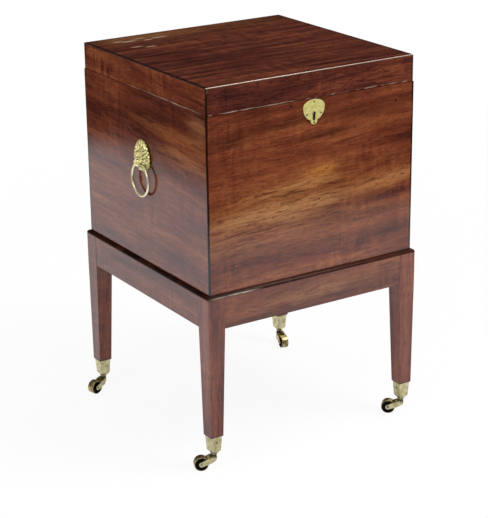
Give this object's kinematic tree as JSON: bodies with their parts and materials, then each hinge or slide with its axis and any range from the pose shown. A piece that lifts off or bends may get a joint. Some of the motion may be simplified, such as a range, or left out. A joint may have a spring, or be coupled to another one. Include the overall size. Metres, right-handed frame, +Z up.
{
  "type": "cellarette",
  "caption": "Square lidded bottle box with lion mask ring handles and a lock, on a stand with square tapering legs and swivelling castors.",
  "frame": {"origin": "on the floor, under the middle of the box", "axes": "+Z up, -Y the front with the escutcheon, -X the left as seen from the front"},
  "size_m": [0.4679, 0.4294, 0.6755],
  "materials": {
    "mahogany_box": "gloss varnish",
    "mahogany_lid": "gloss varnish",
    "mahogany_stand": "gloss varnish",
    "inner_wood": "matt",
    "brass_fittings": "polished",
    "brass_castors": "dull",
    "castor_wheels": "tarnished",
    "steel": "worn"
  },
  "bodies": {
    "box_and_stand": {"leg_front_left": "mahogany_stand", "leg_front_right": "mahogany_stand", "leg_rear_left": "mahogany_stand", "leg_rear_right": "mahogany_stand", "rail_front": "mahogany_stand", "rail_right": "mahogany_stand", "rail_rear": "mahogany_stand", "rail_left": "mahogany_stand", "stand_moulding": "mahogany_stand", "box_front": "mahogany_box", "box_rear": "mahogany_box", "box_left": "mahogany_box", "box_right": "mahogany_box", "box_floor": "inner_wood", "divider_across_1": "inner_wood", "divider_across_2": "inner_wood", "divider_deep_1": "inner_wood", "divider_deep_2": "inner_wood", "hinge_box_leaf_left": "brass_fittings", "hinge_box_leaf_right": "brass_fittings", "hinge_pins": "brass_fittings", "box_screws": "brass_fittings", "lock_case": "brass_fittings", "lock_back": "brass_fittings", "escutcheon": "brass_fittings", "escutcheon_pins": "brass_fittings", "lion_mask_left": "brass_fittings", "lion_mask_right": "brass_fittings", "handle_nuts": "brass_fittings", "castor_cup_front_left": "brass_castors", "castor_cup_front_right": "brass_castors", "castor_cup_rear_left": "brass_castors", "castor_cup_rear_right": "brass_castors", "castor_screws": "steel"},
    "lid": {"lid_front": "mahogany_lid", "lid_rear": "mahogany_lid", "lid_left": "mahogany_lid", "lid_right": "mahogany_lid", "lid_panel": "inner_wood", "lid_top_veneer": "mahogany_lid", "hinge_lid_leaf_left": "brass_fittings", "hinge_lid_leaf_right": "brass_fittings", "lid_screws": "brass_fittings", "link_plate": "brass_fittings"},
    "lock_bolt": {"lock_bolt": "steel"},
    "ring_left": {"ring_left": "brass_fittings"},
    "ring_right": {"ring_right": "brass_fittings"},
    "fork_front_left": {"castor_fork_front_left": "brass_castors", "castor_axle_front_left": "steel"},
    "wheel_front_left": {"castor_wheel_front_left": "castor_wheels"},
    "fork_front_right": {"castor_fork_front_right": "brass_castors", "castor_axle_front_right": "steel"},
    "wheel_front_right": {"castor_wheel_front_right": "castor_wheels"},
    "fork_rear_left": {"castor_fork_rear_left": "brass_castors", "castor_axle_rear_left": "steel"},
    "wheel_rear_left": {"castor_wheel_rear_left": "castor_wheels"},
    "fork_rear_right": {"castor_fork_rear_right": "brass_castors", "castor_axle_rear_right": "steel"},
    "wheel_rear_right": {"castor_wheel_rear_right": "castor_wheels"}
  },
  "joints": [
    {"name": "lid_hinge", "type": "hinge", "parent": "box_and_stand", "child": "lid", "pos_m": [0, 0.21, 0.6288], "axis": [-1, 0, 0], "range_deg": [0, 100]},
    {"name": "lock_bolt_slide", "type": "slide", "parent": "box_and_stand", "child": "lock_bolt", "axis": [1, 0, 0], "range_m": [0, 0.006]},
    {"name": "ring_left_swing", "type": "hinge", "parent": "box_and_stand", "child": "ring_left", "pos_m": [-0.218, 0, 0.5015], "axis": [0, 1, 0], "range_deg": [-5, 100]},
    {"name": "ring_right_swing", "type": "hinge", "parent": "box_and_stand", "child": "ring_right", "pos_m": [0.218, 0, 0.5015], "axis": [0, -1, 0], "range_deg": [-5, 100]},
    {"name": "swivel_front_left", "type": "hinge", "parent": "box_and_stand", "child": "fork_front_left", "pos_m": [-0.20255, -0.20105, 0.031], "axis": [0, 0, 1], "continuous": true},
    {"name": "roll_front_left", "type": "hinge", "parent": "fork_front_left", "child": "wheel_front_left", "pos_m": [-0.22338, -0.19203, 0.0127], "axis": [-0.3971, -0.9178, 0], "continuous": true},
    {"name": "swivel_front_right", "type": "hinge", "parent": "box_and_stand", "child": "fork_front_right", "pos_m": [0.20255, -0.20105, 0.031], "axis": [0, 0, 1], "continuous": true},
    {"name": "roll_front_right", "type": "hinge", "parent": "fork_front_right", "child": "wheel_front_right", "pos_m": [0.18573, -0.1858, 0.0127], "axis": [-0.6717, -0.7408, 0], "continuous": true},
    {"name": "swivel_rear_left", "type": "hinge", "parent": "box_and_stand", "child": "fork_rear_left", "pos_m": [-0.20255, 0.20105, 0.031], "axis": [0, 0, 1], "continuous": true},
    {"name": "roll_rear_left", "type": "hinge", "parent": "fork_rear_left", "child": "wheel_rear_left", "pos_m": [-0.22442, 0.19498, 0.0127], "axis": [0.2672, -0.9636, 0], "continuous": true},
    {"name": "swivel_rear_right", "type": "hinge", "parent": "box_and_stand", "child": "fork_rear_right", "pos_m": [0.20255, 0.20105, 0.031], "axis": [0, 0, 1], "continuous": true},
    {"name": "roll_rear_right", "type": "hinge", "parent": "fork_rear_right", "child": "wheel_rear_right", "pos_m": [0.19752, 0.17891, 0.0127], "axis": [0.9751, -0.2215, 0], "continuous": true}
  ]
}
